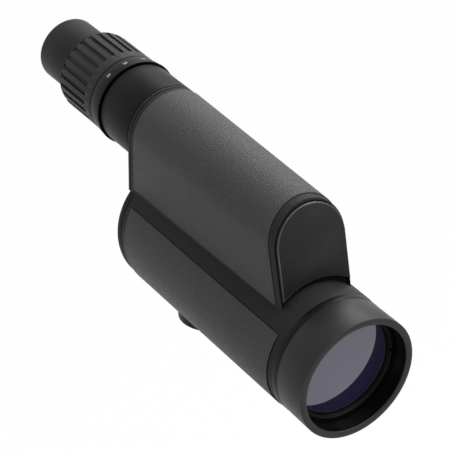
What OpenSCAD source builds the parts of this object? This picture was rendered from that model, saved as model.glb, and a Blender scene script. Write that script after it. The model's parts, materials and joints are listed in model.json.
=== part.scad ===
// Compact spotting scope with a folded light path: a 60 mm objective in a lower tube, two
// mirrors, and a zoom eyepiece on top of the body. Millimetres, Z up, the objective looks
// along -Y, and the origin is the centre of the tripod foot's flat face.

/* [Body casting] */
// Outer radius of the lower tube
tube_r = 38.4; // [36:0.1:46]
// Wall of the lower tube
tube_wall = 3; // [2.5:0.1:3.5]
// Length from the objective ring's front face to the rear face, on the tube's axis
body_len = 192.7; // [180:0.1:235]
// Lean of the rear face, its top being further back
rear_lean = 8.75; // [4:0.05:12]
// Height of the eyepiece axis above the objective axis
eye_h = 64.2; // [56:0.1:78]
// Half width of the upper housing at its front
housing_front_r = 24; // [22.5:0.1:26]
// Half width of the upper housing at its rear
housing_rear_r = 26.5; // [25:0.1:28]
// Wall of the upper housing
housing_wall = 2.6; // [2:0.1:3]
// Place of the housing's front face, on the eyepiece axis
housing_front_y = 49.4; // [46:0.1:58]
// Distance of the housing's rear face behind the tube's, each on its own axis
housing_overhang = 6; // [5.5:0.1:9]

/* [Armour] */
// Thickness of the lower armour
lower_armor_t = 0.6; // [0.5:0.05:1.2]
// Thickness of the upper armour
upper_armor_t = 0.6; // [0.4:0.05:1]
// Angle from the top at which the lower armour starts, on both sides
armor_angle = 54.4; // [50:0.1:60]
// Height of the upper armour's lower edge above the crease at the housing's front
armor_lift = 1.5; // [1:0.1:4]
// Bare strip between the housing's front rim and the upper armour
front_strip = 5; // [3:0.1:7]
// Bare band between the upper armour and the housing's rear face
rear_strip = 6.3; // [3:0.1:9]
// Bare rim between the lower armour and the rear face
rear_rim = 9; // [6:0.1:11]

/* [Objective] */
// How far the objective ring's front edge stands proud of the tube
ring_lip = 0.25; // [0.2:0.05:1.5]
// Length of the objective ring
ring_len = 23.4; // [22:0.1:27]
// Width of the collar between the objective ring and the body
collar_len = 4.5; // [3:0.1:5]
// Wall of the hood around its bore, which takes a cap or a filter ring
hood_wall = 4.35; // [3.6:0.05:4.8]
// Depth of the hood's bore
hood_depth = 10.8; // [9:0.1:11.5]
// Wall of the cell around the two objective lenses
cell_wall = 3.4; // [2.7:0.1:5]

/* [Front plate] */
// Thickness of the housing's front rim around the plate
rim_t = 0.6; // [0.6:0.05:1.2]
// Dark gap between the rim and the plate
plate_gap = 0.5; // [0.4:0.05:2]
// Height of the plate above the rim
plate_proud = 2.3; // [1:0.1:3.5]
// Gap between the plate and the tube below it
plate_lift = 4.6; // [1.5:0.1:5.5]

/* [Mirrors] */
// Radius of the lower mirror
lower_mirror_r = 20; // [17:0.1:21]
// Radius of the upper mirror
upper_mirror_r = 15; // [12:0.1:15.5]
// Thickness of both mirrors
mirror_t = 4; // [3:0.1:4.5]

/* [Eyepiece] */
// Bore of the barrel, which the cam sleeve turns in
barrel_bore_r = 18.6; // [15.5:0.05:19]
// Wall of the barrel under the zoom ring
bearing_wall = 3.9; // [3.3:0.05:4.7]
// Step from the bearing up to the barrel's bare stretch
barrel_step = 4.1; // [3.4:0.05:4.6]
// Length of the barrel's bare stretch
barrel_len = 31.1; // [26:0.1:37]
// Wall of the cam sleeve
cam_wall = 2.05; // [1.8:0.05:2.3]
// Wall of the erector tube inside the cam sleeve
erector_wall = 2.05; // [1.8:0.05:2.3]
// Wall of the tail that the eyecup is pushed onto
tail_wall = 1.95; // [1.6:0.05:2.4]
// Wall of the eyecup over the tail
eyecup_wall = 2; // [1.6:0.05:2.6]
// Length of the eyecup
eyecup_len = 33.6; // [31:0.1:40]

/* [Zoom] */
// Length of the zoom ring
zoom_len = 48; // [44:0.1:58]
// Rise of the number band's front edge above the grip
band_rise = 1.25; // [0.8:0.05:2]
// Width of the number band
band_len = 10.8; // [8:0.1:12]
// Height of the rubber grip's ribs above the bearing
grip_wall = 4.15; // [3.6:0.05:5]
// Number of slots in the grip
grip_slots = 27; // [18:1:30]
// Width of a slot
slot_w = 2.9; // [2:0.1:3.4]
// Depth of a slot
slot_d = 1.1; // [0.6:0.05:1.6]
// Turn of the first slot from the top, in degrees
slot_turn = 2.2; // [0:0.1:13]
// Turn of the zoom ring to each side of its middle, in degrees
zoom_turn = 75; // [60:1:80]
// Travel of the front zoom lens to each side
front_travel = 7; // [6:0.1:7.5]
// Travel of the rear zoom lens to each side
rear_travel = 5; // [4:0.1:5.5]
// Radius of the follower pins
pin_r = 1.2; // [1:0.05:1.4]

/* [Focus] */
// Radius over the ribs of the focus knob
knob_r = 20; // [17:0.1:22]
// Length of the focus knob
knob_len = 15; // [14.5:0.1:18]
// Number of flutes on the focus knob
knob_flutes = 24; // [16:1:30]
// Radius of the cover's boss that the knob turns on
boss_r = 12; // [11:0.05:13]
// Radius of the focus screw
screw_r = 3; // [2.5:0.05:3.5]
// Travel of the mirror carriage to each side
focus_travel = 2.5; // [2:0.1:2.8]

/* [Foot] */
// Radius of the tripod foot
foot_r = 18.5; // [17:0.1:22]
// Distance from the objective ring's front face to the foot's centre
foot_y = 150; // [120:0.1:155]
// Height of the foot below the tube
foot_height = 7.8; // [6.5:0.1:10]
// Wall radius of the tripod thread, at the minor diameter of 1/4"-20
thread_r = 2.6; // [2.5:0.05:4]

/* [Hidden] */
$fn = 96;

far = 400;            // longer than any cut
fit = 0.05;           // radial clearance of a fixed joint and of a running fit
seat = 0.2;           // end clearance between parts that turn or slide past each other
skin = 0.02;          // bond line under a glued skin
tuck = 0.01;          // how far the housing's flat sides lie inside its round top
lens_rim = 1.6;       // flat rim of each lens, where its rings touch

// Lower tube, lengths from the objective ring's front face
bore_r = tube_r - tube_wall;
ring_r = tube_r + ring_lip;
hood_r = ring_r - hood_wall;
nose_r = tube_r - 1.8;            // spigot under the ring and the collar
nose_y = hood_depth + 0.1;
collar_y = ring_len + collar_len; // where the body's full radius starts
lower_armor_y = collar_y + 4.7;

// Upper housing
housing_rear_y = body_len + housing_overhang;
housing_len = housing_rear_y - housing_front_y;
wall_y = housing_rear_y - 4;      // inner face of the housing's rear wall
groove_w = 0.6;                   // fine groove around the housing's rear band
groove_d = 0.5;
groove_y = housing_rear_y - 2.5;
crease_z = sqrt(pow(tube_r, 2) - pow(housing_rear_r, 2));
armor_edge_z = sqrt(pow(tube_r, 2) - pow(housing_front_r, 2)) + armor_lift;

// Front plate, depths behind the rim's plane
recess_d = 3;
gasket_t = 1.5;
front_wall = 5;
plate_r = housing_front_r - rim_t - plate_gap;
window_r = upper_mirror_r + 3.5;

// Objective, lengths from the ring's front face
lens_r = bore_r - cell_wall;
lens_y = 15.5;
lens_front_t = 6;
lens_gap = 0.8;
lens_rear_t = 7.7;
cell_front_y = nose_y + 0.1;
retainer_r = lens_r + 1.2;
spacer_y = lens_y + lens_front_t;
rear_lens_y = spacer_y + lens_gap;
cell_lip_y = rear_lens_y + lens_rear_t;
cell_end_y = cell_lip_y + 3;
front_curve = 180;
inner_curve = 135;

// Rear cover, depths along the face's own normal
cover_t = 4;
cover_gasket_t = 0.8;
cover_spigot = 3;
screw_circle_r = bore_r - 3.2;
cover_screw_r = 1.4;
cover_head_r = 2.6;
cover_head_t = 1.8;

// Focus drive, depths along the rear face's normal, positive behind the face
boss_len = 5;
nut_r = 6;
nut_end = 7;
guide_r = 1.5;
guide_x = 15;
mirror_clear = 1.4;   // room between the guide pins and the mirror
carriage_back = cover_t + focus_travel + 0.6;
guide_front = carriage_back + focus_travel + 0.9;
carriage_floor = 1.5;
screw_front = carriage_back - carriage_floor - focus_travel - 0.4;
knob_start = 0.6;
knob_end = knob_start + knob_len;
knob_wall_y = nut_end + focus_travel + 0.6;
knob_core_r = knob_r - 2;
clip_r = 0.6;
clip_y = 3;

// Folded light path: equal leans send the beam from the lower to the upper mirror
mirror_back = 8.2;                // upper mirror's face behind the housing's front face
upper_mirror_y = housing_front_y + mirror_back;
lower_mirror_y = body_len - (guide_front + focus_travel + mirror_clear + mirror_t);
plate_lean = atan2(eye_h, lower_mirror_y - upper_mirror_y) / 2;

// Eyepiece, lengths from the ring's front face
bearing_r = barrel_bore_r + bearing_wall;
barrel_r = bearing_r + barrel_step;
grip_r = bearing_r + grip_wall;
band_r = grip_r + band_rise;
barrel_gasket_t = 0.6;
barrel_y = housing_rear_y + barrel_gasket_t;
shoulder_y = barrel_y + barrel_len;
zoom_y = shoulder_y + 1.2;
zoom_end_y = zoom_y + zoom_len;
spigot_r = barrel_bore_r + 2.4;
spigot_y = wall_y - 2;
cam_r = barrel_bore_r - fit;
cam_in_r = cam_r - cam_wall;
erector_r = cam_in_r - fit;
erector_in_r = erector_r - erector_wall;
erector_y = barrel_y + 0.4;
cam_y = erector_y + seat;
drive_y = zoom_y + 25;
cam_end_y = drive_y + 4;
retainer_t = 2;
erector_end_y = cam_end_y + seat + retainer_t;
ocular_bore_r = barrel_bore_r - 1.55;
tail_r = ocular_bore_r + tail_wall;
eyecup_r = tail_r + eyecup_wall;
tail_y = zoom_end_y + 16.7;
zoom_retainer_t = 1.6;
eyecup_y = zoom_end_y + seat + zoom_retainer_t + seat;
eyecup_end_y = eyecup_y + eyecup_len;

// Zoom lenses, both carriers at the middle of their travel
cell_len = 8;
front_cell_y = cam_y + 17;
rear_cell_y = cam_y + 43;
zoom_lens_r = erector_in_r - 2.4;
pin_reach = cam_r - 0.25;
slot_clear = 0.35;

// Zoom ring and grip
ring_in_r = bearing_r + fit;
grip_y = zoom_y + band_len + 0.8;
grip_in_r = grip_r - 2.4;
slot_y = grip_y + 6.4;
drive_r = 1.5;
drive_slot = 1.8;     // half width of the barrel's slot for the drive screw

// Eye lenses
ocular_r = ocular_bore_r - fit;
ocular_y = erector_end_y + seat;
ocular_end_y = eyecup_end_y - 12;
eye_lens_r = ocular_r - 2;
field_lens_y = ocular_y + 2.5;
field_lens_t = 6;
eye_lens_t = 8;
eye_lens_y = ocular_end_y - 13;

// Foot
foot_drop = tube_r + foot_height;
foot_screw_y = 12.5;
foot_screw_r = 1.5;
foot_head_r = 3;
insert_r = 4;
pad_r = foot_r - 1.5;
pad_z = tube_r - 7;

// A part laid out from the objective ring's front face, moved onto the foot's origin
module placed() {
    translate([0, -foot_y, foot_drop]) children();
}

// A profile of [radius, distance along Y], turned about the Y axis
module turned(z = 0) {
    translate([0, 0, z]) rotate([-90, 0, 0]) rotate_extrude() children();
}

// A plain ring or disc about the Y axis
module ring(r_out, r_in, y0, y1, z = 0) {
    turned(z) translate([r_in, y0]) square([r_out - r_in, y1 - y0]);
}

// A rod along +Y from y0 to y1
module rod(r, y0, y1, z = 0, r_end = 0) {
    translate([0, y0, z]) rotate([-90, 0, 0])
        cylinder(h = y1 - y0, r1 = r, r2 = r_end > 0 ? r_end : r);
}

// Everything in front of the housing's leaning front face, moved back by d
module before_front(d) {
    translate([0, housing_front_y, eye_h]) rotate([-plate_lean, 0, 0])
        translate([-far / 2, d - far, -far / 2]) cube(far);
}

// A shape drawn in the leaning front face's plane, from depth d0 back to d1
module on_front(d0, d1) {
    translate([0, housing_front_y, eye_h]) rotate([-plate_lean, 0, 0])
        translate([0, d1, 0]) rotate([90, 0, 0]) linear_extrude(d1 - d0) children();
}

// The frame of the leaning rear face, Y along its normal
module rear_frame() {
    translate([0, body_len, 0]) rotate([-rear_lean, 0, 0]) children();
}

// Everything behind the rear face, moved back by d
module behind_rear(d) {
    rear_frame() translate([-far / 2, d, -far / 2]) cube(far);
}

function housing_r(y) = housing_front_r
    + (housing_rear_r - housing_front_r) * (y - housing_front_y) / housing_len;

// The tapered arch of the upper housing, grown sideways by g, down to the height z0;
// its flat sides are tucked in a hair, so that they cross the round top and don't just touch it
module arch(g, y0, y1, z0) {
    r0 = housing_r(y0) + g;
    r1 = housing_r(y1) + g;
    translate([0, y0, eye_h]) rotate([-90, 0, 0]) rotate([0, 0, 90])
        cylinder(h = y1 - y0, r1 = r0, r2 = r1);
    translate([0, 0, z0]) linear_extrude(eye_h - z0) polygon([
        [tuck - r0, y0], [r0 - tuck, y0], [r1 - tuck, y1], [tuck - r1, y1]
    ]);
}

// An arch outline in the front face's plane
module arch_outline(r) {
    circle(r);
    translate([-r, -far / 4]) square([2 * r, far / 4]);
}

// A lens with its flat rim at y0 and y1; a positive curve bulges, a negative one is hollow
function sag(curve, r) = abs(curve) - sqrt(pow(curve, 2) - pow(r, 2));

module lens(r, y0, y1, front, back, z = 0) {
    clear_r = r - lens_rim;
    front_sag = front == 0 ? 0 : sag(front, clear_r);
    back_sag = back == 0 ? 0 : sag(back, clear_r);
    turned(z) difference() {
        union() {
            translate([0, y0]) square([r, y1 - y0]);
            if (front > 0) intersection() {
                translate([0, y0 - front_sag]) square([clear_r, front_sag + 1]);
                translate([0, y0 - front_sag + front]) circle(front, $fn = 720);
            }
            if (back > 0) intersection() {
                translate([0, y1 - 1]) square([clear_r, back_sag + 1]);
                translate([0, y1 + back_sag - back]) circle(back, $fn = 720);
            }
        }
        if (front < 0) translate([0, y0 + front_sag + front]) circle(-front, $fn = 720);
        if (back < 0) translate([0, y1 - back_sag - back]) circle(-back, $fn = 720);
    }
}

// Places for the four rear cover screws, in the rear face's frame
module at_cover_screws() {
    for (a = [45, 135, 225, 315]) rotate([0, a, 0]) translate([0, 0, screw_circle_r]) children();
}

// Places for the two foot screws
module at_foot_screws() {
    for (s = [-1, 1]) translate([0, foot_y + s * foot_screw_y, 0]) children();
}

// Casting: lower tube and upper housing in one, open inside for the folded beam
module main_body() {
    color("#262729") placed() difference() {
        union() {
            difference() {
                union() {
                    rod(nose_r, nose_y, collar_y + 1);
                    rod(tube_r, collar_y, housing_rear_y);
                }
                behind_rear(-cover_t - cover_gasket_t);
            }
            difference() {
                arch(0, housing_front_y - eye_h * tan(plate_lean), housing_rear_y, crease_z);
                before_front(0);
            }
        }
        difference() {
            rod(bore_r, 0, wall_y);
            rear_lugs();
            foot_pad();
        }
        difference() {
            arch(-housing_wall, housing_front_y - eye_h * tan(plate_lean), wall_y, 0);
            before_front(front_wall);
            foot_pad();
        }
        difference() {
            on_front(-1, recess_d) arch_outline(housing_front_r - rim_t);
            rod(tube_r, 0, housing_rear_y);
        }
        on_front(-1, front_wall + 1) circle(window_r);
        difference() {
            arch(1, groove_y, groove_y + groove_w, crease_z + 1);
            arch(-groove_d, groove_y - 1, groove_y + groove_w + 1, crease_z);
        }
        rod(spigot_r + fit, wall_y - 1, housing_rear_y + 1, eye_h);
        rear_frame() at_cover_screws() rod(cover_screw_r + fit, -far / 20, 1);
        at_foot_screws() translate([0, 0, -tube_r - 1]) cylinder(h = 6, r = foot_screw_r + fit);
    }
}

// Lugs inside the tube's rear end that take the cover screws
module rear_lugs() {
    rear_frame() at_cover_screws() translate([0, 0, tube_wall]) difference() {
        rod(6.4, -16, -cover_t - cover_spigot - seat);
        rod(cover_screw_r + fit, -16, -15);
    }
}

// Thickened floor of the tube over the tripod foot
module foot_pad() {
    translate([0, foot_y, -tube_r]) cylinder(h = tube_r - pad_z, r = pad_r);
}

// Armour around the sides and underside of the lower tube, with a hole for the foot
module lower_armor() {
    color("#3b3b3c") placed() difference() {
        ring(tube_r + lower_armor_t, tube_r + skin, lower_armor_y, housing_rear_y);
        behind_rear(-rear_rim);
        rotate([90, 0, 0]) translate([0, 0, -far]) linear_extrude(far)
            polygon([[0, 0], [-far * sin(armor_angle), far * cos(armor_angle)],
                [far * sin(armor_angle), far * cos(armor_angle)]]);
        translate([0, foot_y, -far / 4]) cylinder(h = far / 4, r = foot_r + 0.4);
    }
}

// Armour saddle over the upper housing
module upper_armor() {
    y0 = housing_front_y - eye_h * tan(plate_lean);
    color("#3e3e3e") placed() difference() {
        arch(upper_armor_t, y0, housing_rear_y - rear_strip, armor_edge_z);
        arch(skin, y0 - 1, housing_rear_y, armor_edge_z - 1);
        before_front(front_strip);
    }
}

// Raised arch plate that closes the housing's front, bare of lettering
module front_plate() {
    color("#2b2b2c") placed() difference() {
        on_front(-plate_proud, recess_d - gasket_t) arch_outline(plate_r);
        rod(tube_r + plate_lift, 0, housing_rear_y);
        translate([-far / 2, 0, -far]) cube(far);
    }
}

// Rubber gasket on the recess floor, around the mirror window
module plate_gasket() {
    color("#0f0f10") placed() difference() {
        on_front(recess_d - gasket_t, recess_d) arch_outline(housing_front_r - rim_t - fit);
        rod(tube_r + fit, 0, housing_rear_y);
        on_front(-1, front_wall) circle(window_r);
        translate([-far / 2, 0, -far]) cube(far);
    }
}

// Threaded ring around the objective, with the open hood in front of the glass
module objective_ring() {
    rear_r = ring_r - 0.5;
    color("#343536") placed() turned() polygon([
        [hood_r + 0.9, 0], [ring_r - 0.7, 0], [ring_r, 0.7], [rear_r, ring_len],
        [nose_r + fit, ring_len], [nose_r + fit, hood_depth], [hood_r, hood_depth],
        [hood_r, 0.9]
    ]);
}

// Plain collar between the ring and the body
module objective_collar() {
    color("#1d1e1f") placed() ring(tube_r - 0.3, nose_r + fit, ring_len + fit, collar_y - fit);
}

// Cell that holds both objective lenses inside the tube's nose
module objective_cell() {
    color("#1b1b1c") placed() turned() polygon([
        [retainer_r + fit, cell_front_y], [bore_r - fit, cell_front_y],
        [bore_r - fit, cell_lip_y - 4], [bore_r - 1.3, cell_lip_y - 4],
        [bore_r - 1.3, cell_lip_y - 2.6], [bore_r - fit, cell_lip_y - 2.6],
        [bore_r - fit, cell_end_y], [lens_r - 2, cell_end_y], [lens_r - 2, cell_lip_y],
        [lens_r + fit, cell_lip_y], [lens_r + fit, lens_y], [retainer_r + fit, lens_y]
    ]);
}

// O-ring in the cell's groove
module objective_seal() {
    color("#101010") placed() turned() translate([bore_r - 0.68, cell_lip_y - 3.3]) circle(0.6);
}

// Front lens of the doublet
module front_lens() {
    color("#8f8c9c") placed() lens(lens_r, lens_y, spacer_y, front_curve, inner_curve);
}

// Thin spacer between the two objective lenses
module lens_spacer() {
    color("#555555") placed() ring(lens_r, lens_r - 1.2, spacer_y, rear_lens_y);
}

// Rear lens of the doublet
module rear_lens() {
    color("#8a90a0") placed() lens(lens_r, rear_lens_y, cell_lip_y, -inner_curve - 1, 0);
}

// Threaded ring that holds the front lens in its cell
module lens_retainer() {
    color("#3a3a3b") placed() turned() polygon([
        [lens_r + 0.4, cell_front_y + 0.6], [retainer_r - 0.3, cell_front_y + 0.6],
        [retainer_r, cell_front_y + 0.9], [retainer_r, lens_y], [lens_r - 0.8, lens_y],
        [lens_r - 0.8, lens_y - 0.6]
    ]);
}

// Two thin light stops in the lower tube
module light_baffles() {
    color("#161616") placed() {
        ring(bore_r - fit, lens_r - 4.5, cell_end_y + 14, cell_end_y + 15.5);
        ring(bore_r - fit, lens_r - 6.5, cell_end_y + 40, cell_end_y + 41.5);
    }
}

// Mirror behind the front plate
module upper_mirror() {
    color("#b9c0c6") placed() on_front(mirror_back - mirror_t, mirror_back) circle(upper_mirror_r);
}

// Holder of the upper mirror, fixed to the back of the front plate
module upper_mirror_mount() {
    color("#202020") placed() {
        on_front(recess_d - gasket_t, mirror_back - mirror_t) circle(window_r - 0.4);
        on_front(mirror_back - mirror_t, mirror_back) difference() {
            circle(window_r - 0.4);
            circle(upper_mirror_r + fit);
        }
    }
}

// The frame of the lower mirror's face: centre on the objective axis, lean equal to the plate's
module lower_mirror_frame() {
    translate([0, lower_mirror_y, 0]) rotate([-plate_lean, 0, 0]) children();
}

// Mirror that turns the beam up and forward
module lower_mirror() {
    color("#b9c0c6") placed() lower_mirror_frame() rod(lower_mirror_r, 0, mirror_t);
}

// Carriage of the lower mirror, with the nut of the focus screw and two guide holes
module mirror_carriage() {
    color("#4a4b4d") placed() difference() {
        union() {
            difference() {
                rear_frame() rod(lower_mirror_r + 1.5, -far / 10, -carriage_back);
                lower_mirror_frame() translate([-far / 2, mirror_t - far, -far / 2]) cube(far);
            }
            rear_frame() rod(nut_r, -carriage_back - 0.5, nut_end);
        }
        rear_frame() {
            rod(screw_r + fit, -carriage_back + carriage_floor, nut_end + 1);
            for (s = [-1, 1]) translate([s * guide_x, 0, 0]) rod(guide_r + fit, -far / 10, 1);
        }
    }
}

// Two pins that stop the carriage from turning
module guide_pins() {
    color("#b0b0b0") placed() rear_frame() for (s = [-1, 1]) translate([s * guide_x, 0, 0])
        rod(guide_r, -guide_front, -1.5);
}

// Leaning cover of the tube's rear end, with the boss that the focus knob turns on
module rear_cover() {
    color("#242526") placed() difference() {
        union() {
            difference() {
                rod(tube_r, 0, far);
                behind_rear(0);
                rear_frame() translate([-far / 2, -cover_t - far, -far / 2]) cube(far);
                translate([-far / 2, 0, crease_z - fit]) cube(far);
            }
            difference() {
                rod(bore_r - fit, 0, far);
                behind_rear(-cover_t);
                rear_frame() translate([-far / 2, -cover_t - cover_spigot - far, -far / 2]) cube(far);
                rod(screw_circle_r - 3.6, 0, far);
                translate([-far / 2, 0, crease_z - fit]) cube(far);
            }
            rear_frame() rod(boss_r, -1, boss_len);
        }
        rear_frame() {
            rod(nut_r + fit, -far / 10, far / 10);
            ring(boss_r + 1, boss_r - clip_r - 0.1, clip_y - clip_r - 0.1, clip_y + clip_r + 0.1);
            for (s = [-1, 1]) translate([s * guide_x, 0, 0]) rod(guide_r, -far / 10, -1.5);
            at_cover_screws() {
                rod(cover_screw_r + fit, -far / 10, 1);
                rod(cover_head_r + fit, -cover_head_t, 1);
            }
        }
    }
}

// Gasket between the cover and the tube
module cover_gasket() {
    color("#101010") placed() difference() {
        ring(tube_r - 0.8, bore_r, 0, far);
        behind_rear(-cover_t);
        rear_frame() translate([-far / 2, -cover_t - cover_gasket_t - far, -far / 2]) cube(far);
        translate([-far / 2, 0, crease_z - fit]) cube(far);
    }
}

// Four screws with flat hex-socket heads, sunk in the cover
module cover_screws() {
    color("#707070") placed() rear_frame() at_cover_screws() difference() {
        union() {
            rod(cover_screw_r, -14, -cover_head_t);
            rod(cover_head_r, -cover_head_t, -0.1);
        }
        rod(1.2, -1.2, 1, $fn = 6);
    }
}

// Aluminium core of the focus knob
module focus_knob() {
    color("#2a2b2c") placed() rear_frame() difference() {
        turned() polygon([
            [boss_r + fit, knob_start], [knob_core_r, knob_start], [knob_core_r, knob_end - 0.8],
            [knob_core_r - 0.8, knob_end], [screw_r, knob_end], [screw_r, knob_wall_y],
            [nut_r + 0.5, knob_wall_y], [nut_r + 0.5, boss_len + 0.4], [boss_r + fit, boss_len + 0.4]
        ]);
        ring(boss_r + clip_r + 0.1, boss_r - 1, clip_y - clip_r - 0.1, clip_y + clip_r + 0.1);
    }
}

// Fluted rubber sleeve on the knob
module knob_grip() {
    color("#1b1b1b") placed() rear_frame() difference() {
        turned() polygon([
            [knob_core_r + skin, knob_start + 0.5], [knob_r - 0.5, knob_start + 0.5],
            [knob_r, knob_start + 1], [knob_r, knob_end - 2.2], [knob_r - 0.9, knob_end - 1.3],
            [knob_core_r + skin, knob_end - 1.3]
        ]);
        for (i = [0 : knob_flutes - 1]) rotate([0, 360 * i / knob_flutes, 0])
            translate([0, 0, knob_r + 0.4]) rod(1.5, knob_start, knob_end);
    }
}

// Screw that turns with the knob and moves the carriage's nut
module focus_screw() {
    color("#c2a35a") placed() rear_frame() rod(screw_r, -screw_front, knob_end - 0.5);
}

// Wire clip that keeps the knob on the boss
module knob_clip() {
    color("#b0b0b0") placed() rear_frame() turned() translate([boss_r, clip_y])
        circle(clip_r - 0.05);
}

// Barrel that carries the zoom ring outside and the zoom lenses inside
module eyepiece_barrel() {
    color("#1c1c1d") placed() difference() {
        turned(eye_h) polygon([
            [barrel_bore_r, spigot_y], [spigot_r, spigot_y], [spigot_r, housing_rear_y],
            [spigot_r, barrel_y], [barrel_r, barrel_y], [barrel_r, shoulder_y - 0.5],
            [barrel_r - 0.5, shoulder_y], [bearing_r, shoulder_y], [bearing_r, zoom_y + 3.4],
            [bearing_r - 1, zoom_y + 3.4], [bearing_r - 1, zoom_y + 4.6],
            [bearing_r, zoom_y + 4.6], [bearing_r, zoom_end_y + fit], [tail_r, zoom_end_y + fit],
            [tail_r, tail_y], [ocular_bore_r, tail_y], [ocular_bore_r, erector_end_y],
            [barrel_bore_r, erector_end_y]
        ]);
        translate([0, 0, eye_h]) rotate([0, 90 - zoom_turn - 6, 0]) rotate([-90, 0, 0])
            translate([0, 0, drive_y - drive_slot])
            rotate([0, 0, 180]) rotate_extrude(angle = 2 * zoom_turn + 12)
            translate([barrel_bore_r - 1, 0]) square([far / 40, 2 * drive_slot]);
    }
}

// Gasket between the barrel's flange and the housing
module barrel_gasket() {
    color("#0f0f10") placed() ring(barrel_r - 0.6, spigot_r + fit, housing_rear_y, barrel_y, eye_h);
}

// Ring that holds the reticle at the first image
module reticle_cell() {
    color("#202020") placed() turned(eye_h) polygon([
        [erector_in_r - 1.5, spigot_y + 0.5], [cam_r, spigot_y + 0.5], [cam_r, erector_y - 3.2],
        [erector_in_r - 0.4, erector_y - 3.2], [erector_in_r - 0.4, spigot_y + 2],
        [erector_in_r - 1.5, spigot_y + 2]
    ]);
}

// Glass disc with the aiming mark
module reticle() {
    color("#aeb8c0") placed() rod(erector_in_r - 0.45, spigot_y + 2, spigot_y + 3.5, eye_h);
}

// Fixed tube with a straight slot for each follower pin
module erector_tube() {
    color("#6d6e70") placed() difference() {
        turned(eye_h) polygon([
            [erector_in_r, erector_y - 3], [cam_r, erector_y - 3], [cam_r, erector_y],
            [erector_r, erector_y], [erector_r, erector_end_y], [erector_in_r, erector_end_y]
        ]);
        straight_slot(front_cell_y, front_travel);
        straight_slot(rear_cell_y, rear_travel);
    }
}

module straight_slot(y, travel) {
    half = travel + pin_r + slot_clear;
    translate([-pin_r - fit, y - half, eye_h - cam_r - 1]) cube([2 * (pin_r + fit), 2 * half, cam_r]);
}

// Ring that closes the erector tube's rear end
module erector_retainer() {
    color("#4c4d4f") placed()
        ring(cam_r, erector_r + fit, erector_end_y - retainer_t, erector_end_y, eye_h);
}

// Sleeve with two helical slots, turned by the zoom ring
module cam_sleeve() {
    color("#c9b26a") placed() difference() {
        ring(cam_r, cam_in_r, cam_y, cam_end_y, eye_h);
        helical_slot(front_cell_y, front_travel);
        helical_slot(rear_cell_y, -rear_travel);
        translate([0, drive_y, eye_h]) cylinder(h = far / 10, r = drive_r + 0.02);
    }
}

// A slot that moves a pin by travel while the sleeve turns by zoom_turn
module helical_slot(y, travel) {
    half = abs(travel) + pin_r + slot_clear;
    half_a = zoom_turn * (pin_r + slot_clear) / abs(travel);
    turn = zoom_turn * 2 * half / travel;
    translate([0, y - half, eye_h]) rotate([-90, 0, 0]) rotate([0, 0, 90 + turn / 2])
        linear_extrude(2 * half, twist = turn, slices = 36, $fn = 12)
        polygon([for (s = [[cam_in_r - 1.5, 1], [cam_r + 1.5, -1]], i = [-4 : 4])
            s[0] * [cos(s[1] * i * half_a / 4), sin(s[1] * i * half_a / 4)]]);
}

// Screw that ties the zoom ring to the cam sleeve through the barrel's slot
module drive_screw() {
    color("#8a8a8a") placed() translate([0, drive_y, eye_h + cam_in_r + 0.3])
        cylinder(h = grip_in_r - cam_in_r - 0.8, r = drive_r);
}

// Carrier of a zoom lens, sliding in the erector tube
module zoom_cell(y) {
    difference() {
        turned(eye_h) polygon([
            [zoom_lens_r - 1.2, y - cell_len / 2], [erector_in_r - fit, y - cell_len / 2],
            [erector_in_r - fit, y + cell_len / 2], [zoom_lens_r + fit, y + cell_len / 2],
            [zoom_lens_r + fit, y - cell_len / 2 + 1.5], [zoom_lens_r - 1.2, y - cell_len / 2 + 1.5]
        ]);
        translate([0, y, eye_h - far / 10]) cylinder(h = far / 10 - zoom_lens_r, r = pin_r + 0.02);
    }
}

module zoom_pin(y) {
    translate([0, y, eye_h - pin_reach]) cylinder(h = pin_reach - zoom_lens_r - 0.3, r = pin_r);
}

module front_zoom_cell() {
    color("#37383a") placed() zoom_cell(front_cell_y);
}

module front_zoom_lens() {
    color("#93a0ae") placed()
        lens(zoom_lens_r, front_cell_y - 2.5, front_cell_y + 1.5, 60, 60, eye_h);
}

module front_zoom_pin() {
    color("#c9b26a") placed() zoom_pin(front_cell_y);
}

module rear_zoom_cell() {
    color("#37383a") placed() zoom_cell(rear_cell_y);
}

module rear_zoom_lens() {
    color("#93a0ae") placed()
        lens(zoom_lens_r, rear_cell_y - 2.5, rear_cell_y + 2.5, 45, 80, eye_h);
}

module rear_zoom_pin() {
    color("#c9b26a") placed() zoom_pin(rear_cell_y);
}

// Metal zoom ring: the number band in front, a thin sleeve under the grip behind
module zoom_ring() {
    lip_r = barrel_r + 0.4;
    color("#262728") placed() difference() {
        turned(eye_h) polygon([
            [ring_in_r, zoom_y + 1.8], [lip_r, zoom_y + 1.8], [lip_r, zoom_y],
            [band_r - 0.4, zoom_y], [band_r, zoom_y + 0.4], [grip_r, zoom_y + band_len - 0.3],
            [grip_r - 0.3, zoom_y + band_len], [grip_r - 1, zoom_y + band_len],
            [grip_r - 1, grip_y], [grip_in_r, grip_y], [grip_in_r, zoom_end_y],
            [ring_in_r, zoom_end_y]
        ]);
        translate([0, drive_y, eye_h]) cylinder(h = far / 10, r = drive_r + 0.02);
    }
}

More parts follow.
